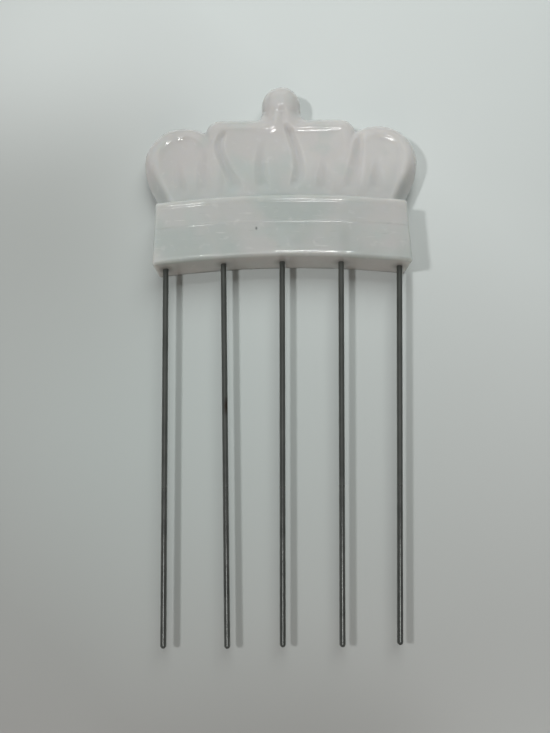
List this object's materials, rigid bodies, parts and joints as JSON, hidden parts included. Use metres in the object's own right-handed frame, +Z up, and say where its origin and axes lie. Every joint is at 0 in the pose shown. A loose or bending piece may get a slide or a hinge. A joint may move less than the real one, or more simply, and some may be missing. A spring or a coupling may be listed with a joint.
{
  "type": "lift comb",
  "caption": "Hair pick with a cast crown-shaped handle and long straight steel pins, for lifting and loosening curls.",
  "frame": {"origin": "under the middle of the whole comb, on the plane of the crown's flat back", "axes": "+Y from the pin tips to the knob, +X to the right seen from the face, +Z up out of the face"},
  "size_m": [0.078, 0.1526, 0.0102],
  "materials": {
    "resin": "glossy, milky white, slightly translucent cast resin",
    "steel": "satin drawn wire, dull grey, with a spot of rust"
  },
  "bodies": {
    "root": {"crown": "resin", "pin_1": "steel", "pin_2": "steel", "pin_3": "steel", "pin_4": "steel", "pin_5": "steel"}
  },
  "joints": []
}
